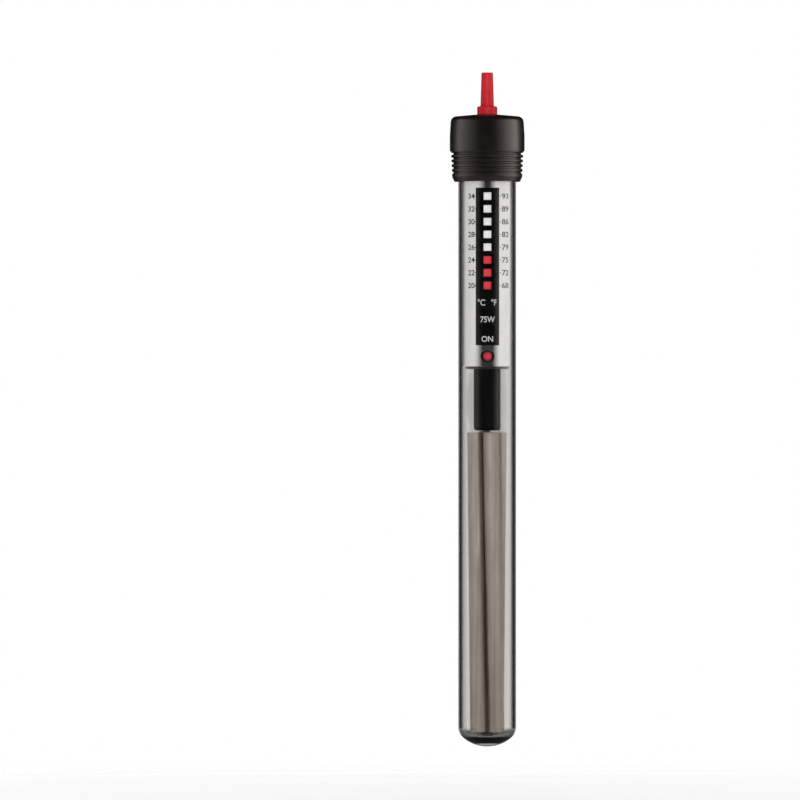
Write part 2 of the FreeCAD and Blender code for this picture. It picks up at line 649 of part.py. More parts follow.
def bimetal_switch():
    """The bimetal strip with its contact and armature, its terminal, rivet and magnet."""
    half = d.bimetal_half
    back = d.bimetal_x + d.bimetal_thick
    strip = block(d.bimetal_x, back, -half, half, d.bimetal_foot, d.bimetal_top)
    hole = rod(0.5, d.bimetal_x, back, along="x", z=d.contact_z)
    subpart(cut(strip, hole), "bimetal_strip")
    face = d.lever_x + 0.4 + d.contact_thick + d.contact_gap
    contact = fuse(rod(d.contact_rad, face, d.bimetal_x, along="x", z=d.contact_z),
                   rod(0.5, d.bimetal_x, back, along="x", z=d.contact_z))
    subpart(contact, "strip_contact")
    plate = block(d.bimetal_x - d.armature_thick, d.bimetal_x, -half, half, d.armature_foot,
                  d.bimetal_top)
    subpart(plate, "armature_plate")
    magnet = block(d.magnet_x, d.magnet_x + d.magnet_thick, -d.magnet_half, d.magnet_half,
                   d.magnet_foot, d.magnet_top)
    subpart(magnet, "snap_magnet")
    foot = block(d.bimetal_x, back, -half, half, d.frame_floor + 0.1, d.base_top)
    tab = block(d.bimetal_x, back, half, d.base_half + 2.6, d.frame_floor + 0.1, d.base_top - 0.6)
    rivet_z = d.base_top - 1.4
    rivet_hole = rod(d.rivet_rad + 0.01, d.bimetal_x, back, along="x", z=rivet_z)
    subpart(cut(fuse(foot, tab), rivet_hole), "bimetal_terminal")
    rivet = fuse(rod(d.rivet_rad, d.base_x, d.base_right, along="x", z=rivet_z),
                 rod(d.rivet_rad + 0.5, d.base_x - 0.5, d.base_x, along="x", z=rivet_z))
    subpart(rivet, "clamp_rivet")


# ---------------------------------------------------------------- wires


def wire_solid(points, radius, bend):
    """A round wire along straight runs joined by tangent arcs."""
    spots = [Vector(*p) for p in points]
    edges = []
    start = spots[0]
    for before, corner, after in zip(spots, spots[1:], spots[2:]):
        inward = corner - before
        onward = after - corner
        turn = inward.getAngle(onward)
        room = 0.45 * min(inward.Length, onward.Length) / math.tan(turn / 2)
        arc_rad = min(bend, room)
        setback = arc_rad * math.tan(turn / 2)
        inward.normalize()
        onward.normalize()
        first = corner - inward * setback
        last = corner + onward * setback
        middle = corner + (onward - inward).normalize() * (arc_rad / math.cos(turn / 2) - arc_rad)
        edges.append(Part.LineSegment(start, first).toShape())
        edges.append(Part.Arc(first, middle, last).toShape())
        start = last
    edges.append(Part.LineSegment(start, spots[-1]).toShape())
    path = Part.Wire(edges)
    section = Part.Wire(Part.Circle(spots[0], spots[1] - spots[0], radius).toShape())
    solid = path.makePipeShell([section], True, False)
    expected = math.pi * radius**2 * path.Length
    if abs(solid.Volume - expected) > 0.02 * expected:
        raise RuntimeError(f"a wire's volume is {solid.Volume:.3f}, and not {expected:.3f}")
    return solid


def wires(name, routes, radius, bend):
    solids = [wire_solid(points, radius.value, bend) for points in routes]
    obj = doc.addObject("Part::Feature", name)
    obj.Shape = solids[0] if len(solids) == 1 else Part.makeCompound(solids)
    subpart(obj, name)


def leads():
    """The insulated leads from the crimps to the thermostat and the heating element."""
    live_x, live_y = at_azimuth(d.lead_ring, 90 - d.lead_turn.value)
    cold_x, cold_y = at_azimuth(d.lead_ring, 90 + d.lead_turn.value)
    pin_y = d.lug_out.value + 1.6 + d.lead_rad.value
    lead_top = d.crimp_foot.value + 2
    wires("live_lead", [[(live_x, live_y, lead_top), (live_x, live_y, 168.2),
                         (d.lever_x.value, pin_y + 0.1, 166.0),
                         (d.lever_x.value, pin_y + 0.1, d.lever_z.value - 0.8)]],
          d.lead_rad, 1.6)
    hot_x, hot_y = at_azimuth(d.lead_inner_ring, d.hot_way.value)
    end_x, end_y = at_azimuth(d.hot_ring, d.hot_turn.value)
    cool_x, cool_y = at_azimuth(d.lead_inner_ring, d.cold_way.value)
    fuse_x, fuse_y = at_azimuth(d.fuse_ring, d.cold_way.value)
    coil_top = d.ceramic_foot.value + d.ceramic_length.value - d.coil_inset.value + 0.1
    tab_x = d.bimetal_x.value + d.bimetal_thick.value + d.lead_rad.value + 0.02
    tab_y = d.base_half.value + 2.0
    wires("heater_lead", [[(tab_x, tab_y, d.base_top.value - 0.9), (tab_x, tab_y + 0.2, 150.9),
                           (hot_x, hot_y + 0.4, 151.2), (hot_x, hot_y, 148.6),
                           (hot_x, hot_y, 141.0), (end_x, end_y, 133.0),
                           (end_x, end_y, coil_top)]], d.lead_rad, 1.0)
    wires("neutral_lead", [
        [(cold_x, cold_y, lead_top), (cold_x, cold_y, 160.0), (cool_x, cool_y, 153.0),
         (cool_x, cool_y, 142.5), (fuse_x, fuse_y, 140.0), (fuse_x, fuse_y, d.fuse_top.value)],
        [(fuse_x, fuse_y, d.fuse_foot.value), (fuse_x, fuse_y, 124.4), (cool_x, cool_y, 122.4),
         (cool_x, cool_y, coil_top)]], d.lead_rad, 2.0)
    capsule = rod(d.fuse_rad, d.fuse_foot, d.fuse_top, x=fuse_x, y=fuse_y)
    subpart(capsule, "thermal_fuse")
    crimps = []
    for x, y in ((live_x, live_y), (cold_x, cold_y)):
        bore_top = d.crimp_foot + 2.05
        crimps.append(cut(rod(d.crimp_rad, d.crimp_foot, d.crimp_top, x=x, y=y),
                          rod(d.lead_rad + 0.02, d.crimp_foot, bore_top, x=x, y=y)))
    subpart(group(*crimps), "crimp_connectors")


# ---------------------------------------------------------------- lamp, resistor, capacitor


def indicator_lamp():
    """The lamp behind its red lens, with its bezel, resistor and bare leads."""
    front, back = -(d.glass_rad + 1), -d.bezel_back
    ring = cut(rod(d.bezel_rad, front, back, along="y", z=d.lamp_z),
               rod(d.bezel_bore, front, back, along="y", z=d.lamp_z))
    bezel = doc.addObject("Part::Common", "bezel")
    bezel.Base = ring
    bezel.Tool = rod(d.bezel_front, d.sleeve_foot, d.strip_foot)
    subpart(bezel, "lamp_bezel")
    barrel = rod(d.lens_rad, -d.lens_front, -d.lens_back, along="y", z=d.lamp_z)
    doc.recompute()
    lens = doc.addObject("Part::Fillet", "lens")
    lens.Base = barrel
    rims = [i for i, edge in enumerate(barrel.Shape.Edges, 1)
            if circle_of(edge) and circle_of(edge).Center.y < -d.lens_back.value - 0.1]
    lens.Edges = [(rims[0], d.lens_round.value, d.lens_round.value)]
    subpart(lens, "lamp_lens")
    doc.recompute()
    bulb = rod(d.neon_rad, -d.neon_front, -d.neon_back, along="y", z=d.lamp_z)
    subpart(bulb, "neon_lamp")
    body = rod(d.resistor_rad, d.resistor_foot, d.resistor_top, x=d.resistor_x, y=d.resistor_y)
    subpart(body, "lamp_resistor")
    lamp_z, pin_y = d.lamp_z.value, -d.neon_back.value
    res_x, res_y = d.resistor_x.value, d.resistor_y.value
    tab_x = d.bimetal_x.value - d.small_lead.value - 0.02
    tab_y = d.base_half.value + 0.8
    cold_x, cold_y = at_azimuth(d.lead_ring, 90 + d.lead_turn.value)
    beside_lead = cold_x - d.lead_rad.value - d.small_lead.value
    wires("lamp_leads", [
        [(0.6, pin_y, lamp_z), (0.6, 0.4, lamp_z), (1.6, tab_y, lamp_z - 0.6),
         (tab_x, tab_y, lamp_z - 0.9)],
        [(-0.6, pin_y, lamp_z), (-0.6, 0.4, lamp_z), (res_x, res_y, 147.4),
         (res_x, res_y, d.resistor_foot.value)],
        [(res_x, res_y, d.resistor_top.value), (res_x, res_y, 158.4),
         (beside_lead, cold_y, 161.6), (beside_lead, cold_y, 163.5)],
    ], d.small_lead, 0.8)


def suppression_capacitor():
    """The disc capacitor across the contacts, with its two leads."""
    half = d.cap_disc_thick * 0.5
    disc = rod(d.cap_disc_rad, -half, half, x=d.cap_disc_x, along="y", z=d.cap_disc_z)
    subpart(disc, "suppression_capacitor")
    foot = d.cap_disc_z.value - d.cap_disc_rad.value
    x = d.cap_disc_x.value
    pin_front = -(d.lug_out.value + 0.2) - d.small_lead.value
    tab_x = d.bimetal_x.value + d.bimetal_thick.value * 0.5
    wires("capacitor_leads", [
        [(x - 1.2, 0, foot + 0.08), (x - 1.2, 0, 157.0), (x - 0.5, pin_front, 155.0),
         (d.lever_x.value, pin_front, 156.5), (d.lever_x.value, pin_front, d.lever_z.value + 0.5)],
        [(x + 1.2, 0, foot + 0.08), (x + 1.2, 0, 154.2), (0.5, 0.6, 152.6),
         (3.4, d.base_half.value + 1.0, 151.0), (tab_x, d.base_half.value + 0.9, 150.8),
         (tab_x, d.base_half.value + 0.9, d.base_top.value - 0.6)],
    ], d.small_lead, 0.8)


# ---------------------------------------------------------------- heating element


def barrier():
    """The mica disc under the frame, the black block below it and the screws through both."""
    holes = []
    screws = []
    for azimuth in SCREW_AZIMUTHS:
        x, y = at_azimuth(d.screw_ring, azimuth)
        holes.append(rod(d.small_screw_rad + 0.05, d.shield_foot, d.shield_top, x=x, y=y))
        head_top = d.frame_floor + d.head_thick
        head = rod(d.head_rad, d.frame_floor, head_top, x=x, y=y)
        shank = rod(d.small_screw_rad, d.frame_foot - d.screw_depth, d.frame_floor, x=x, y=y)
        half_slot = d.driver_slot * 0.5
        slot = block(-d.head_rad + x, d.head_rad + x, -half_slot + y, half_slot + y,
                     head_top - 0.5, head_top)
        screws.append(cut(fuse(head, shank), slot))
    for azimuth in (d.hot_way.value, d.cold_way.value):
        x, y = at_azimuth(d.lead_inner_ring, azimuth)
        holes.append(rod(d.lead_rad + 0.1, d.shield_foot, d.shield_top, x=x, y=y))
    subpart(cut(rod(d.shield_rad, d.shield_foot, d.shield_top), *holes), "heat_shield")
    subpart(group(*screws), "frame_screws")


def insulator_block():
    """The black block between the frame and the tubes, with a rounded foot."""
    body = new_body("insulator_block")
    turned = spin(body, [(0, d.block_foot), (d.block_rad, d.block_foot),
                         (d.block_rad, d.shield_foot - 0.02), (0, d.shield_foot - 0.02)],
                  name="plug")
    rim = round_edges(body, turned, d.block_top_round,
                      ring_edge(d.block_rad, d.shield_foot - 0.02), "top_edge")
    round_edges(body, rim, d.block_round, ring_edge(d.block_rad, d.block_foot), "foot_edge")
    pocket(body, lambda s: circle(s, d.rod_rad + 0.02), "rod_socket",
           d.rod_top + 0.5 - d.block_foot, True, offset=d.block_foot)

    def screw_holes(sketch):
        for azimuth in SCREW_AZIMUTHS:
            circle(sketch, d.small_screw_rad + 0.02, *at_azimuth(d.screw_ring, azimuth))

    pocket(body, screw_holes, "screw_holes", d.screw_depth + 0.5, False, offset=d.shield_foot)
    subpart(body, "insulator_block")


def tube_axis(i):
    """The placement of ceramic tube i: from its foot, leaning round the ring towards its top."""
    top = ring_azimuth(i)
    foot_x, foot_y = at_azimuth(d.ring_rad, top + d.ring_twist.value)
    top_x, top_y = at_azimuth(d.ring_rad, top)
    sideways = math.hypot(top_x - foot_x, top_y - foot_y)
    rise = math.sqrt(d.ceramic_length.value**2 - sideways**2)
    lean = Vector(top_x - foot_x, top_y - foot_y, rise)
    foot = Vector(foot_x, foot_y, d.ceramic_foot.value)
    return Placement(foot, Rotation(Vector(0, 0, 1), lean))


def hollow_rod(outer, inner, length):
    return cut(rod(outer, 0, length), rod(inner, 0, length))


def heating_element():
    """Leaning ceramic tubes round a sleeved rod, each with a resistance coil in its bore."""
    coils = []
    for i in range(int(d.tube_count.value)):
        placement = tube_axis(i)
        ceramic = hollow_rod(d.ceramic_rad, d.ceramic_bore, d.ceramic_length)
        ceramic.Placement = placement
        ceramic.Label = f"ceramic_tube_{i + 1}"
        bind(ceramic, "Placement.Base.z", d.ceramic_foot - d.grip_height)
        subparts.append(ceramic)
        coil = hollow_rod(d.coil_rad, d.coil_bore, d.ceramic_length - d.coil_inset * 2)
        coil.Placement = placement.multiply(Placement(Vector(0, 0, d.coil_inset.value), Rotation()))
        coils.append(coil)
    subpart(group(*coils), "heating_coils")
    subpart(tube(d.core_rad, d.core_bore, d.ceramic_foot, d.core_top), "core_tube")
    subpart(rod(d.rod_rad, d.rod_foot, d.rod_top), "core_rod")
    subpart(tube(d.washer_rad, d.rod_rad + 0.03, d.nut_top + 0.05, d.ceramic_foot - 0.05),
            "core_washer")
    prism = doc.addObject("Part::Prism", "hexagon")
    prism.Polygon = 6
    bind(prism, "Circumradius", d.nut_flats * (1 / math.sqrt(3)))
    bind(prism, "Height", d.nut_top - d.nut_foot)
    place(prism, 0, 0, d.nut_foot)
    subpart(cut(prism, rod(d.rod_rad + 0.03, d.nut_foot, d.nut_top)), "core_nut")


def jumpers():
    """The bare wire bridges that join the coils in series: two below and one above."""
    coil_foot = d.ceramic_foot.value + d.coil_inset.value - 0.05
    dip = d.ceramic_foot.value - d.jumper_drop.value
    lower = []
    for i in (0, 2):
        ends = [at_azimuth(d.ring_rad, ring_azimuth(k) + d.ring_twist.value) for k in (i, i + 1)]
        lower.append([(*ends[0], coil_foot), (*ends[0], dip), (*ends[1], dip),
                      (*ends[1], coil_foot)])
    wires("lower_jumpers", lower, d.jumper_rad, 0.8)
    coil_top = d.ceramic_foot.value + d.ceramic_length.value - d.coil_inset.value + 0.05
    ends = [at_azimuth(d.jumper_ring, ring_azimuth(k)) for k in (3, 4)]
    upper = [[(*ends[0], coil_top), (*ends[0], d.jumper_top.value),
              (*ends[1], d.jumper_top.value), (*ends[1], coil_top)]]
    wires("upper_jumper", upper, d.jumper_rad, 0.6)


# ---------------------------------------------------------------- build and write


def check_document():
    doc.recompute()
    failed = [obj.Label for obj in doc.Objects
              if "Invalid" in obj.State or "Error" in obj.State]
    bad = [obj.Label for obj in subparts if obj.Shape.isNull() or not obj.Shape.isValid()]
    if failed or bad:
        raise RuntimeError(f"failed objects {failed}, bad shapes {bad}")


def write_parts():
    os.makedirs("parts", exist_ok=True)
    for obj in subparts:
        shape = obj.Shape
        shape.exportStep(f"parts/{obj.Label}.step")
        print(f"{obj.Label}: {len(shape.Solids)} solid(s), {shape.Volume:.1f} mm3")


glass_tube()
head_cap()
ribbed_collar()
seal_bung()
cord_gland()
shaft_bush()
shaft_seals()
adjuster_knob()
adjuster_shaft()
shaft_clip()
indicator_drum()
red_indicator()
scale_sleeve()
window_strip()
upper_guide()
thermostat_frame()
set_screw_parts()
set_lever()
bimetal_switch()
indicator_lamp()
suppression_capacitor()
leads()
barrier()
insulator_block()
heating_element()
jumpers()
check_document()
write_parts()
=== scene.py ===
import json
import math

import bmesh
import bpy
from mathutils import Matrix, Vector


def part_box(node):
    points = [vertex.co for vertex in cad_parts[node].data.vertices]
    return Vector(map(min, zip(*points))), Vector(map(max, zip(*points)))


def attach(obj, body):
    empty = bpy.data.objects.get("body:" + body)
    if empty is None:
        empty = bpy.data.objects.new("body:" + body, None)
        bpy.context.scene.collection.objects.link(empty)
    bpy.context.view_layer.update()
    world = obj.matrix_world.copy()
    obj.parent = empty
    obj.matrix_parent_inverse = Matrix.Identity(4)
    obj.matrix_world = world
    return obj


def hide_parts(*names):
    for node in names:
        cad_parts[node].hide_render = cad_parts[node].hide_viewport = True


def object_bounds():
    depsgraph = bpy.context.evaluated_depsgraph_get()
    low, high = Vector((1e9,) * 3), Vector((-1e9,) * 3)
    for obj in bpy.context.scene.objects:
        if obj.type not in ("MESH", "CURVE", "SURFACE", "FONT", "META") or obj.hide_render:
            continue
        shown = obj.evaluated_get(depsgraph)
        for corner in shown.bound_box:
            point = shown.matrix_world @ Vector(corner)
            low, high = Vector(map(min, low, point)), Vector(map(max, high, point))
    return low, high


# A submersible aquarium heater. Lengths in the tables below are millimetres; heights run up the
# tube's axis from the tip of the glass. The scale faces -Y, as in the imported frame.

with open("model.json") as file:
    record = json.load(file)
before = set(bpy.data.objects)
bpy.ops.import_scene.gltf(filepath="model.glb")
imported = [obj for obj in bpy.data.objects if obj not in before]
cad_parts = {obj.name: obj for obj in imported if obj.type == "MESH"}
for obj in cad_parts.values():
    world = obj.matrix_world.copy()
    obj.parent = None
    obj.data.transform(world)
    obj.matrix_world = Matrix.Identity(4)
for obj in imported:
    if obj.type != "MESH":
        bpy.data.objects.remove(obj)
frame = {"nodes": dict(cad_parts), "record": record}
cad_low, cad_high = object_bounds()
scene = bpy.context.scene
scene.view_settings.view_transform = "Standard"

MM = 0.001
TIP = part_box("glass_tube")[0].z


def up(height):
    """A height above the tip, in mm, as z in the frame, in metres."""
    return TIP + height * MM


# ---------------------------------------------------------------- node materials


class Shader:
    """A node tree under construction."""

    def __init__(self, owner):
        owner.use_nodes = True
        self.tree = owner.node_tree
        self.tree.nodes.clear()

    def add(self, kind, inputs=None, **settings):
        node = self.tree.nodes.new(kind)
        for key, value in settings.items():
            setattr(node, key, value)
        for key, value in (inputs or {}).items():
            if isinstance(value, bpy.types.NodeSocket):
                self.tree.links.new(value, node.inputs[key])
            else:
                node.inputs[key].default_value = value
        return node

    def math(self, operation, *values, clamp=False):
        return self.add("ShaderNodeMath", dict(enumerate(values)), operation=operation,
                        use_clamp=clamp).outputs[0]

    def ramp(self, value, low, high, to_low=0.0, to_high=1.0, smooth=True):
        kind = "SMOOTHSTEP" if smooth else "LINEAR"
        inputs = {"Value": value, "From Min": low, "From Max": high, "To Min": to_low,
                  "To Max": to_high}
        return self.add("ShaderNodeMapRange", inputs, interpolation_type=kind).outputs["Result"]

    def profile(self, value, points):
        """A level that runs smoothly through (value, level) points."""
        total = points[0][1]
        for (start, low), (end, high) in zip(points, points[1:]):
            if low != high:
                total = self.math("ADD", total, self.ramp(value, start, end, 0.0, high - low))
        return total

    def mix(self, factor, first, second):
        node = self.add("ShaderNodeMix", data_type="RGBA")
        for index, value in ((0, factor), (6, first), (7, second)):
            if isinstance(value, bpy.types.NodeSocket):
                self.tree.links.new(value, node.inputs[index])
            else:
                node.inputs[index].default_value = value
        return node.outputs[2]

    def place(self, stretch=(1, 1, 1)):
        coordinates = self.add("ShaderNodeTexCoord").outputs["Object"]
        return self.add("ShaderNodeMapping", {"Vector": coordinates, "Scale": stretch}).outputs[0]

    def noise(self, vector, grain, detail=3.0, rough=0.55):
        inputs = {"Vector": vector, "Scale": 1000.0 / grain, "Detail": detail, "Roughness": rough}
        return self.add("ShaderNodeTexNoise", inputs).outputs["Fac"]


def rgb(red, green, blue):
    return (red, green, blue, 1.0)


def surface(name, colour, shade, rough, grain, bump, stretch=(1, 1, 1), patch=4.0, tint=None,
            **extra):
    """A moulded, drawn or fired surface: two-scale colour, uneven gloss and a fine relief.

    rough is a (low, high) pair, grain and patch are feature sizes in mm, and bump is the relief
    in mm. tint changes the tone further, and extra sets further inputs of the shader."""
    material = bpy.data.materials.new(name)
    s = Shader(material)
    spot = s.place(stretch)
    wide = s.noise(spot, patch, 4.0)
    fine = s.noise(spot, grain, 5.0, 0.6)
    blend = s.math("ADD", s.math("MULTIPLY", wide, 0.6), s.math("MULTIPLY", fine, 0.4))
    tone = s.mix(s.ramp(blend, 0.35, 0.65), rgb(*colour), rgb(*shade))
    if tint:
        tone = tint(s, tone)
    gloss = s.ramp(s.math("ADD", s.math("MULTIPLY", wide, 0.5), s.math("MULTIPLY", fine, 0.5)),
                   0.35, 0.65, rough[0], rough[1], smooth=False)
    relief = s.add("ShaderNodeBump", {"Height": fine, "Distance": bump * MM, "Strength": 1.0})
    inputs = {"Base Color": tone, "Roughness": gloss, "Normal": relief.outputs[0], **extra}
    base = s.add("ShaderNodeBsdfPrincipled", inputs)
    s.add("ShaderNodeOutputMaterial", {"Surface": base.outputs[0]})
    return material


def position(s):
    """The x, y and z of the surface in the frame, in mm."""
    spot = s.add("ShaderNodeTexCoord").outputs["Object"]
    scaled = s.add("ShaderNodeVectorMath", {0: spot, 1: (1000, 1000, 1000)}, operation="MULTIPLY")
    return s.add("ShaderNodeSeparateXYZ", {0: scaled.outputs[0]}).outputs


def sooty(s, tone):
    """Fired clay's lengthwise streaks, its darker foot, and painted shade that darkens the
    creases between the tubes, which lie nearest the heater's axis, to dark brown."""
    x, y, z = position(s)
    streaks = s.ramp(s.noise(s.place((1, 1, 0.012)), 1.1, 2.0), 0.4, 0.62)
    drawn = s.mix(s.math("MULTIPLY", streaks, 0.45), tone, rgb(0.21, 0.165, 0.135))
    before_crease_shade = s.mix(s.ramp(z, -105.0, 10.0, 0.4, 0.0), drawn, rgb(0.2, 0.165, 0.135))
    reach = s.math("SQRT", s.math("ADD", s.math("MULTIPLY", x, x), s.math("MULTIPLY", y, y)))
    uneven = s.math("MULTIPLY", s.math("SUBTRACT", s.noise(s.place((1, 1, 0.1)), 2.0), 0.5), 0.5)
    # painted shade: the creases nearest the axis, where the tubes meet, darkened to dark brown as
    # if in shadow
    return s.mix(s.ramp(s.math("ADD", reach, uneven), 5.0, 6.1), rgb(0.13, 0.093, 0.07), before_crease_shade)


def banded(s, tone):
    """The film's dark band down the front, a painted reflection narrower at its top, and its
    flanks greyed by painted shade.
    """
    x, y, z = position(s)
    middle = s.ramp(z, 45.0, 105.0, 0.0, 1.1)
    aside = s.math("ABSOLUTE", x)
    away = s.math("ADD", aside, middle)
    # painted reflection: a dark band down the film's front, where the dark room in front would
    # mirror
    front = s.mix(s.ramp(away, 1.6, 5.0), rgb(0.035, 0.04, 0.035), tone)
    film = s.mix(s.math("GREATER_THAN", y, 0.0), front, tone)
    # painted shade: the film's flanks greyer, where it turns away from the light
    return s.mix(s.ramp(aside, 7.8, 9.4), film, rgb(0.28, 0.27, 0.26))


# painted light: a faint emission that brightens parts which are no lamps
def glow(red, green, blue, strength):
    return {"Emission Color": rgb(red, green, blue), "Emission Strength": strength}


ALONG = (1, 1, 0.06)

materials = {
    "cap_plastic": surface("cap_plastic", (0.003, 0.0025, 0.0025), (0.005, 0.0042, 0.0042),
                           (0.3, 0.36), 0.35, 0.002,
                           **{"Specular IOR Level": 1.0, "Specular Tint": rgb(1, 0.93, 0.9)}),
    "collar_rubber": surface("collar_rubber", (0.006, 0.0045, 0.0045), (0.01, 0.0075, 0.007),
                             (0.34, 0.42), 0.4, 0.004,
                             **{"Specular IOR Level": 0.9, "Specular Tint": rgb(1, 0.9, 0.87)}),
    "seal_rubber": surface("seal_rubber", (0.02, 0.02, 0.021), (0.035, 0.034, 0.034),
                           (0.5, 0.65), 0.3, 0.01),
    "red_plastic": surface("red_plastic", (0.36, 0.0036, 0.009), (0.43, 0.005, 0.012),
                           (0.24, 0.34), 0.5, 0.004,
                           **{"Specular IOR Level": 0.28}),
    # the indicator red and the white drum glow faintly: painted light, as neither is a lamp
    "indicator_red": surface("indicator_red", (0.75, 0.012, 0.028), (0.82, 0.02, 0.04),
                             (0.3, 0.42), 0.5, 0.003, **glow(0.8, 0.02, 0.04, 0.2)),
    "drum_white": surface("drum_white", (0.84, 0.84, 0.83), (0.9, 0.9, 0.89),
                          (0.3, 0.45), 0.5, 0.003, **glow(0.86, 0.86, 0.85, 0.25)),
    "shaft_nylon": surface("shaft_nylon", (0.6, 0.57, 0.49), (0.72, 0.69, 0.61),
                           (0.35, 0.5), 0.4, 0.005, stretch=ALONG),
    # the film's dark front band is a painted reflection and its grey flanks are painted shade
    "scale_film": surface("scale_film", (0.89, 0.875, 0.86), (0.94, 0.93, 0.92),
                          (0.38, 0.46), 0.18, 0.0012, tint=banded, Metallic=0.08),
    "black_film": surface("black_film", (0.002, 0.002, 0.0022), (0.0035, 0.0035, 0.004),
                          (0.25, 0.35), 0.25, 0.001, **{"Specular IOR Level": 0.15}),
    "frame_plastic": surface("frame_plastic", (0.035, 0.035, 0.037), (0.06, 0.06, 0.062),
                             (0.45, 0.6), 0.35, 0.01),
    "guide_plastic": surface("guide_plastic", (0.5, 0.48, 0.43), (0.6, 0.58, 0.53),
                             (0.4, 0.55), 0.35, 0.006),
    "brass": surface("brass", (0.72, 0.5, 0.2), (0.6, 0.4, 0.15), (0.22, 0.38), 0.15, 0.004,
                     Metallic=1.0),
    "steel": surface("steel", (0.56, 0.56, 0.56), (0.42, 0.42, 0.43), (0.2, 0.36), 0.12, 0.004,
                     Metallic=1.0),
    "spring_brass": surface("spring_brass", (0.66, 0.47, 0.22), (0.52, 0.34, 0.14),
                            (0.28, 0.42), 0.12, 0.003, stretch=ALONG, Metallic=1.0),
    "bimetal": surface("bimetal", (0.46, 0.44, 0.4), (0.34, 0.32, 0.3), (0.3, 0.45), 0.12, 0.003,
                       stretch=ALONG, Metallic=1.0),
    "contact_silver": surface("contact_silver", (0.85, 0.83, 0.8), (0.6, 0.58, 0.55),
                              (0.15, 0.35), 0.2, 0.003, Metallic=1.0),
    "ferrite": surface("ferrite", (0.05, 0.05, 0.055), (0.09, 0.088, 0.09), (0.5, 0.7), 0.1, 0.01,
                       Metallic=0.3),
    "resistor_body": surface("resistor_body", (0.55, 0.42, 0.27), (0.65, 0.52, 0.35),
                             (0.3, 0.42), 0.3, 0.006),
    "capacitor_body": surface("capacitor_body", (0.05, 0.15, 0.42), (0.08, 0.2, 0.5),
                              (0.25, 0.4), 0.4, 0.015),
    "fuse_body": surface("fuse_body", (0.7, 0.66, 0.55), (0.6, 0.55, 0.44), (0.28, 0.42),
                         0.2, 0.004, Metallic=0.8),
    "tinned_wire": surface("tinned_wire", (0.68, 0.67, 0.65), (0.5, 0.49, 0.47), (0.25, 0.45),
                           0.12, 0.004, Metallic=1.0),
    "red_sleeving": surface("red_sleeving", (0.42, 0.02, 0.015), (0.52, 0.035, 0.025),
                            (0.45, 0.6), 0.25, 0.008),
    "white_sleeving": surface("white_sleeving", (0.72, 0.7, 0.64), (0.8, 0.78, 0.72),
                              (0.45, 0.6), 0.25, 0.008),
    "crimp_metal": surface("crimp_metal", (0.66, 0.62, 0.52), (0.5, 0.46, 0.38), (0.25, 0.4),
                           0.15, 0.006, Metallic=1.0),
    "mica": surface("mica", (0.02, 0.015, 0.011), (0.035, 0.027, 0.02), (0.25, 0.55), 0.3, 0.01),
    "block_black": surface("block_black", (0.002, 0.0018, 0.002), (0.004, 0.0036, 0.004),
                           (0.45, 0.55), 0.35, 0.006, **{"Specular IOR Level": 0.15}),
    # the ceramic's crease darkening is painted shade
    "ceramic": surface("ceramic", (0.33, 0.265, 0.225), (0.43, 0.355, 0.31), (0.6, 0.8),
                       0.22, 0.012, stretch=(1, 1, 0.25), tint=sooty,
                       **{"Specular IOR Level": 0.3}),
    "core_ceramic": surface("core_ceramic", (0.5, 0.43, 0.38), (0.57, 0.5, 0.45), (0.6, 0.8),
                            0.22, 0.012, stretch=(1, 1, 0.25)),
    "nichrome": surface("nichrome", (0.36, 0.32, 0.28), (0.2, 0.17, 0.15), (0.3, 0.5), 0.1, 0.004,
                        Metallic=1.0),
    "lamp_red": surface("lamp_red", (0.55, 0.02, 0.06), (0.65, 0.03, 0.08), (0.12, 0.2), 0.4,
                        0.002),
    "bezel_dark": surface("bezel_dark", (0.012, 0.001, 0.002), (0.02, 0.002, 0.003), (0.3, 0.4),
                          0.4, 0.003),
    "print_grey": surface("print_grey", (0.02, 0.018, 0.018), (0.035, 0.032, 0.032), (0.5, 0.6),
                          0.15, 0.0005, **{"Specular IOR Level": 0.1}),
    # the white print glows faintly: painted light
    "print_white": surface("print_white", (0.48, 0.48, 0.48), (0.56, 0.56, 0.56), (0.4, 0.55),
                           0.15, 0.0005, **glow(0.8, 0.8, 0.8, 0.05)),
}


def clear_glass(name, tint, rough, index=1.47):
    """Drawn glass: faint lengthwise waves and an uneven polish."""
    material = bpy.data.materials.new(name)
    s = Shader(material)
    waves = s.noise(s.place((1, 1, 0.02)), 2.5, 2.0)
    polish = s.ramp(s.noise(s.place(), 6.0, 3.0), 0.35, 0.7, rough[0], rough[1], smooth=False)
    relief = s.add("ShaderNodeBump", {"Height": waves, "Distance": 0.004 * MM, "Strength": 1.0})
    base = s.add("ShaderNodeBsdfPrincipled", {
        "Base Color": rgb(*tint), "Roughness": polish, "IOR": index, "Transmission Weight": 1.0,
        "Normal": relief.outputs[0]})
    s.add("ShaderNodeOutputMaterial", {"Surface": base.outputs[0]})
    return material


materials["glass"] = clear_glass("glass", (0.97, 0.975, 0.97), (0.0, 0.015))
materials["neon_glass"] = clear_glass("neon_glass", (0.98, 0.97, 0.96), (0.0, 0.02))


# ---------------------------------------------------------------- mesh building


def piece(name, mesh, body, slot, *nodes, material=None):
    """A new piece in the frame, riding on a body and standing for CAD nodes if any are given."""
    obj = bpy.data.objects.new(name, mesh)
    scene.collection.objects.link(obj)
    mesh.materials.append(material or materials[slot])
    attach(obj, body)
    if nodes:
        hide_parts(*nodes)
    return obj


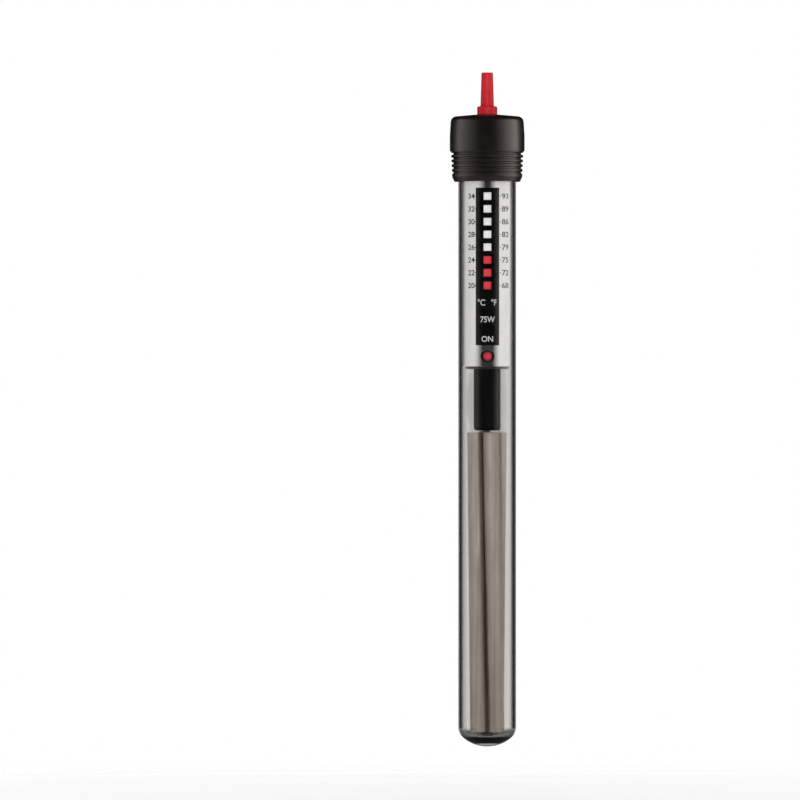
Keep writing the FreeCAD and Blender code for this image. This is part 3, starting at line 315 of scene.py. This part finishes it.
def lathe(name, outline, segments=192, closed=True):
    """Turns an outline of (radius, height) in mm about the axis."""
    b = bmesh.new()
    rings = []
    for radius, height in outline:
        if radius < 1e-6:
            rings.append([b.verts.new((0, 0, up(height)))])
            continue
        turns = (2 * math.pi * k / segments for k in range(segments))
        rings.append([b.verts.new((radius * MM * math.cos(t), radius * MM * math.sin(t),
                                   up(height))) for t in turns])
    pairs = list(zip(rings, rings[1:]))
    if closed:
        pairs.append((rings[-1], rings[0]))
    for first, second in pairs:
        for k in range(segments):
            following = (k + 1) % segments
            corners = [first[k % len(first)], first[following % len(first)],
                       second[following % len(second)], second[k % len(second)]]
            unique = list(dict.fromkeys(corners))
            if len(unique) > 2:
                b.faces.new(unique)
    bmesh.ops.recalc_face_normals(b, faces=b.faces)
    mesh = bpy.data.meshes.new(name)
    b.to_mesh(mesh)
    b.free()
    mesh.shade_smooth()
    return mesh


def arc(centre_r, centre_h, radius, start, end, steps):
    """Points of an arc in the (radius, height) plane; 0 points down the axis, 90 outward."""
    points = []
    for k in range(steps + 1):
        angle = math.radians(start + (end - start) * k / steps)
        points.append((centre_r + radius * math.sin(angle), centre_h - radius * math.cos(angle)))
    return points


GLASS_RAD, WALL, NECK_RAD, NECK_FOOT, GLASS_TOP = 11.0, 1.15, 10.8, 215.3, 230.4
DOME_RAD, DOME_ROUND, FLOOR_THICK, INNER_ROUND = 14.0, 5.67, 2.2, 4.0
INNER_DOME_RAD = DOME_RAD + 4
BEVEL = 0.3
WALL_STEPS = (0.6, 3, 12, 40, 100, 160)


def glass_tube():
    """The closed tube: a shallow domed tip, a straight wall and the neck inside the collar."""
    offset = GLASS_RAD - DOME_ROUND
    drop = math.sqrt((DOME_RAD - DOME_ROUND) ** 2 - offset ** 2)
    meet = math.degrees(math.atan2(offset, drop))
    outer = arc(0, DOME_RAD, DOME_RAD, 0, meet, 14)
    outer += arc(offset, DOME_RAD - drop, DOME_ROUND, meet, 90, 16)[1:]
    foot = outer[-1][1]
    outer += [(GLASS_RAD, foot + step) for step in WALL_STEPS]
    outer += [(GLASS_RAD, NECK_FOOT - (GLASS_RAD - NECK_RAD)), (NECK_RAD, NECK_FOOT),
              (NECK_RAD, GLASS_TOP - BEVEL), (NECK_RAD - BEVEL, GLASS_TOP)]
    bore = GLASS_RAD - WALL
    offset = bore - INNER_ROUND
    drop = math.sqrt((INNER_DOME_RAD - INNER_ROUND) ** 2 - offset ** 2)
    meet = math.degrees(math.atan2(offset, drop))
    centre = FLOOR_THICK + INNER_DOME_RAD
    inner = arc(0, centre, INNER_DOME_RAD, 0, meet, 12)
    inner += arc(offset, centre - drop, INNER_ROUND, meet, 90, 14)[1:]
    foot = inner[-1][1]
    inner += [(bore, foot + step) for step in WALL_STEPS]
    inner += [(bore, GLASS_TOP - BEVEL), (bore + BEVEL, GLASS_TOP)]
    mesh = lathe("glass_wall", outer + inner[::-1], segments=256, closed=False)
    obj = piece("glass_wall", mesh, "housing", "glass", "glass_tube")
    obj.modifiers.new("even_normals", "WEIGHTED_NORMAL").keep_sharp = True


glass_tube()


# ---------------------------------------------------------------- print


BOLDER = 0.018
STRIP_OF_LETTER = 0.2


def printed(name, labels, radius, slot, ink):
    """Flat lettering wrapped on the scale's cylinder.

    A label is (text, azimuth from -Y, height above the tip, letter height, width factor)."""
    b = bmesh.new()
    for text, azimuth, height, size, stretch in labels:
        curve = bpy.data.curves.new("lettering", "FONT")
        curve.body = text
        curve.size = 1.0
        curve.offset = BOLDER
        curve.align_x = "CENTER"
        curve.align_y = "CENTER"
        holder = bpy.data.objects.new("lettering", curve)
        scene.collection.objects.link(holder)
        bpy.context.view_layer.update()
        flat = bpy.data.meshes.new_from_object(holder)
        bpy.data.objects.remove(holder)
        tall = [v.co.y for v in flat.vertices]
        middle = (min(tall) + max(tall)) / 2
        scale = size / (max(tall) - min(tall))
        for v in flat.vertices:
            v.co = Vector((v.co.x * scale * stretch, (v.co.y - middle) * scale, 0))
        part = bmesh.new()
        part.from_mesh(flat)
        bpy.data.meshes.remove(flat)
        reach = max(abs(v.co.x) for v in part.verts)
        cuts = int(reach / STRIP_OF_LETTER)
        for k in range(-cuts, cuts + 1):
            geometry = part.verts[:] + part.edges[:] + part.faces[:]
            bmesh.ops.bisect_plane(part, geom=geometry, plane_co=(STRIP_OF_LETTER * k, 0, 0),
                                   plane_no=(1, 0, 0))
        for v in part.verts:
            turn = math.radians(azimuth) + v.co.x / radius
            v.co = Vector((radius * MM * math.sin(turn), -radius * MM * math.cos(turn),
                           up(height + v.co.y)))
        made = bpy.data.meshes.new("lettering")
        part.to_mesh(made)
        part.free()
        b.from_mesh(made)
        bpy.data.meshes.remove(made)
    mesh = bpy.data.meshes.new(name)
    b.to_mesh(mesh)
    b.free()
    piece(name, mesh, "housing", slot, material=materials[ink])


SCALE_RAD = 9.5
WINDOW_FIRST, WINDOW_PITCH = 175.65, 4.85
CELSIUS = (20, 22, 24, 26, 28, 30, 32, 34)
FAHRENHEIT = (68, 72, 75, 79, 82, 86, 89, 93)

PRINT_RAD = SCALE_RAD + 0.05
STRIP_RAD = SCALE_RAD + 0.16
rows = [WINDOW_FIRST + WINDOW_PITCH * k for k in range(8)]
dashes = [("-", azimuth, height, 0.28, 0.75) for azimuth in (-28.2, 29.6) for height in rows]
printed("celsius_numbers", [(str(n), -38.2, h, 2.1, 1.08) for n, h in zip(CELSIUS, rows)],
        PRINT_RAD, "scale_film", "print_grey")
printed("fahrenheit_numbers", [(str(n), 43.5, h, 2.1, 1.2) for n, h in zip(FAHRENHEIT, rows)],
        PRINT_RAD, "scale_film", "print_grey")
printed("scale_dashes", dashes, PRINT_RAD, "scale_film", "print_grey")
printed("strip_lettering", [("°C", -13.6, 169.2, 2.5, 0.85), ("°F", 14.2, 169.2, 2.4, 0.8),
                            ("75W", 0.0, 162.7, 2.3, 0.85), ("ON", 0.0, 155.3, 2.2, 0.95)],
        STRIP_RAD, "black_film", "print_white")


# ---------------------------------------------------------------- carried-over CAD nodes

slot_of = {part["node"]: part["material_slot"] for part in frame["record"]["subparts"]}
for node, obj in frame["nodes"].items():
    obj.data.materials.clear()
    obj.data.materials.append(materials[slot_of[node]])


# ---------------------------------------------------------------- camera, light, floor

VIEW_WIDTH = 0.305
LENS, SENSOR = 400.0, 36.0
RIGHT_OF_MIDDLE = 0.109
BELOW_MIDDLE = 0.0119
FLOOR_RAD, FLOOR_DROP = 0.6, 0.024
# brightness round the room that gloss and glass pick up: (degrees from -Y, level)
PANELS = [(25, 0.0), (50, 0.55), (76, 1.3), (95, 2.0), (103, 2.2), (114, 0.25), (124, 0.0)]
# and what the glass shows behind it
BACKDROP = [(158, 0.0), (168, 0.42), (180, 0.42)]


def photographer():
    """A long lens level with the middle of the heater, which stands right of the middle."""
    centre = (cad_low + cad_high) / 2
    camera = bpy.data.objects.new("camera", bpy.data.cameras.new("camera"))
    scene.collection.objects.link(camera)
    camera.data.lens = LENS
    camera.data.sensor_width = SENSOR
    distance = VIEW_WIDTH * LENS / SENSOR
    camera.location = (centre.x - RIGHT_OF_MIDDLE * VIEW_WIDTH, -distance,
                       centre.z + BELOW_MIDDLE * VIEW_WIDTH)
    camera.rotation_euler = (math.pi / 2, 0, 0)
    camera.data.clip_start = distance / 100
    camera.data.clip_end = distance * 10
    scene.camera = camera


def lit(s):
    """Whether a ray comes from the camera, and whether it has left a matt surface."""
    path = s.add("ShaderNodeLightPath").outputs
    return path["Is Camera Ray"], s.math("MINIMUM", path["Diffuse Depth"], 1.0)


def studio():
    """A white room with soft even light, and tall panels at the sides that the gloss picks up."""
    world = bpy.data.worlds.new("studio")
    scene.world = world
    world.cycles.sampling_method = "NONE"
    s = Shader(world)
    direction = s.add("ShaderNodeSeparateXYZ",
                      {0: s.add("ShaderNodeTexCoord").outputs["Generated"]})
    x, y, z = direction.outputs
    side = s.math("DEGREES", s.math("ABSOLUTE", s.math("ARCTAN2", x, s.math("MULTIPLY", y, -1.0))))
    panels = s.math("MULTIPLY", s.profile(side, PANELS), s.ramp(x, -0.1, 0.1, 0.55, 1.0))
    through = s.add("ShaderNodeLightPath").outputs["Is Transmission Ray"]
    backdrop = s.math("MULTIPLY", s.profile(side, BACKDROP), through)
    level = s.profile(s.math("ABSOLUTE", z), [(0.42, 1.0), (0.6, 0.0)])
    gloss = s.math("ADD", s.math("MULTIPLY", s.math("ADD", panels, backdrop), level), 0.02)
    facing = s.math("MULTIPLY", s.math("POWER", s.math("ABSOLUTE", y), 8.0), 5.6)
    above = s.math("POWER", s.math("MAXIMUM", z, 0.0), 2.0)
    fill = s.math("ADD", s.math("ADD", facing, above), s.ramp(x, -1.0, 1.0, 0.2, 0.35))
    seen, matt = lit(s)
    inside = s.math("ADD", s.math("MULTIPLY", matt, fill),
                    s.math("MULTIPLY", s.math("SUBTRACT", 1.0, matt), gloss))
    strength = s.math("ADD", seen, s.math("MULTIPLY", s.math("SUBTRACT", 1.0, seen), inside))
    tone = s.mix(s.math("MAXIMUM", seen, matt), rgb(1, 0.945, 0.915), rgb(1, 1, 1))
    light = s.add("ShaderNodeBackground", {"Color": tone, "Strength": strength})
    s.add("ShaderNodeOutputWorld", {"Surface": light.outputs[0]})


def floor():
    """A pale floor a little below the hanging heater, fading into the backdrop."""
    b = bmesh.new()
    bmesh.ops.create_circle(b, cap_ends=True, segments=96, radius=FLOOR_RAD)
    mesh = bpy.data.meshes.new("floor")
    b.to_mesh(mesh)
    b.free()
    obj = bpy.data.objects.new("floor", mesh)
    scene.collection.objects.link(obj)
    obj.location = (0, 0, cad_low.z - FLOOR_DROP)
    material = bpy.data.materials.new("pale_floor")
    s = Shader(material)
    spot = s.add("ShaderNodeTexCoord").outputs["Object"]
    reach = s.add("ShaderNodeVectorMath", {0: spot}, operation="LENGTH").outputs["Value"]
    fade = s.ramp(reach, 0.12, 0.5, 1.0, 0.0)
    tone = s.mix(s.noise(spot, 40.0), rgb(0.86, 0.86, 0.86), rgb(0.89, 0.89, 0.89))
    paper = s.add("ShaderNodeBsdfDiffuse", {"Color": tone})
    glint = s.add("ShaderNodeEmission", {"Strength": s.ramp(reach, 0.1, 0.45, 0.1, 0.4)})
    seen, matt = lit(s)
    plain = s.math("MAXIMUM", seen, matt)
    sheet = s.add("ShaderNodeMixShader", {0: plain, 1: glint.outputs[0], 2: paper.outputs[0]})
    clear = s.add("ShaderNodeBsdfTransparent")
    both = s.add("ShaderNodeMixShader", {0: fade, 1: clear.outputs[0], 2: sheet.outputs[0]})
    s.add("ShaderNodeOutputMaterial", {"Surface": both.outputs[0]})
    mesh.materials.append(material)


photographer()
studio()
floor()
